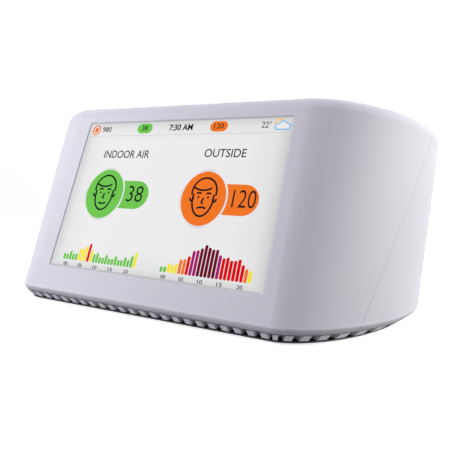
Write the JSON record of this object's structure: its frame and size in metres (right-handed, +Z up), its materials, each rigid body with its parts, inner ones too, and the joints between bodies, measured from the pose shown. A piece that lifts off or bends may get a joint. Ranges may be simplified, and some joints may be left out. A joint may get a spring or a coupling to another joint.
{
  "type": "air quality monitor",
  "caption": "Desk air quality monitor: white wedge-fronted case with a tilted colour touch display, flush top buttons and a ring of air slots around the base.",
  "frame": {"origin": "on the table, under the middle of the case", "axes": "+X to the right seen from the front, +Y from the display towards the back, +Z up"},
  "size_m": [0.1838, 0.0993, 0.083],
  "materials": {
    "shell": "satin moulded white with a faint lavender cast",
    "button": "satin moulded white",
    "screen": "smooth touch surface over a lit light-grey display",
    "rubber": "matt moulded rubber",
    "steel": "zinc-plated screw steel",
    "tin": "tinned pressed steel",
    "panel": "black edged liquid crystal panel",
    "board": "green solder mask on glass-epoxy laminate",
    "chip": "matt black moulded epoxy",
    "connector": "ivory nylon",
    "ribbon": "amber polyimide film",
    "cell": "silver laminate pouch",
    "cable": "soft red insulation",
    "housing": "blue moulded plastic",
    "cover": "pressed steel lid",
    "rotor": "matt black moulded plastic",
    "brass": "satin brass",
    "underside": "matt black moulded plastic",
    "foam": "closed-cell foam"
  },
  "bodies": {
    "case": {"front_shell": "shell", "rear_shell": "shell", "base_plate": "shell", "bottom_cover": "underside", "rubber_foot_1": "rubber", "rubber_foot_2": "rubber", "rubber_foot_3": "rubber", "rubber_foot_4": "rubber", "base_screw_1": "steel", "base_screw_2": "steel", "base_screw_3": "steel", "base_screw_4": "steel", "display_lens": "screen", "display_panel": "panel", "display_tray": "tin", "display_ribbon": "ribbon", "tray_screw_1": "steel", "tray_screw_2": "steel", "tray_screw_3": "steel", "tray_screw_4": "steel", "board_screw_1": "steel", "board_screw_2": "steel", "board_screw_3": "steel", "board_screw_4": "steel", "main_board": "board", "processor_shield": "tin", "wifi_module": "tin", "memory_chip": "chip", "battery_connector": "connector", "sensor_connector": "connector", "battery": "cell", "battery_cable": "cable", "power_board": "board", "usb_socket": "tin", "dust_sensor_housing": "housing", "dust_sensor_cover": "cover", "dust_sensor_board": "board", "laser_module": "brass", "light_detector": "chip", "exhaust_duct": "foam", "sensor_cable": "cable", "co2_board": "board", "co2_sensor": "brass", "climate_board": "board", "climate_sensor": "chip", "button_board": "board", "key_switch_1": "chip", "key_switch_2": "chip", "key_switch_3": "chip", "button_board_screw_1": "steel", "button_board_screw_2": "steel", "wifi_antenna": "ribbon"},
    "fan": {"fan_rotor": "rotor"},
    "left_button": {"button_left": "button"},
    "power_button": {"button_power": "button"},
    "right_button": {"button_right": "button"}
  },
  "joints": [
    {"name": "left_button_press", "type": "slide", "parent": "case", "child": "left_button", "axis": [0, 0, 1], "range_m": [-0.0005, 0], "stiffness_N_per_m": 400},
    {"name": "power_button_press", "type": "slide", "parent": "case", "child": "power_button", "axis": [0, 0, 1], "range_m": [-0.0005, 0], "stiffness_N_per_m": 400},
    {"name": "right_button_press", "type": "slide", "parent": "case", "child": "right_button", "axis": [0, 0, 1], "range_m": [-0.0005, 0], "stiffness_N_per_m": 400},
    {"name": "fan_spin", "type": "hinge", "parent": "case", "child": "fan", "pos_m": [-0.036, 0.012, 0.018], "axis": [0, 0, 1], "continuous": true}
  ]
}
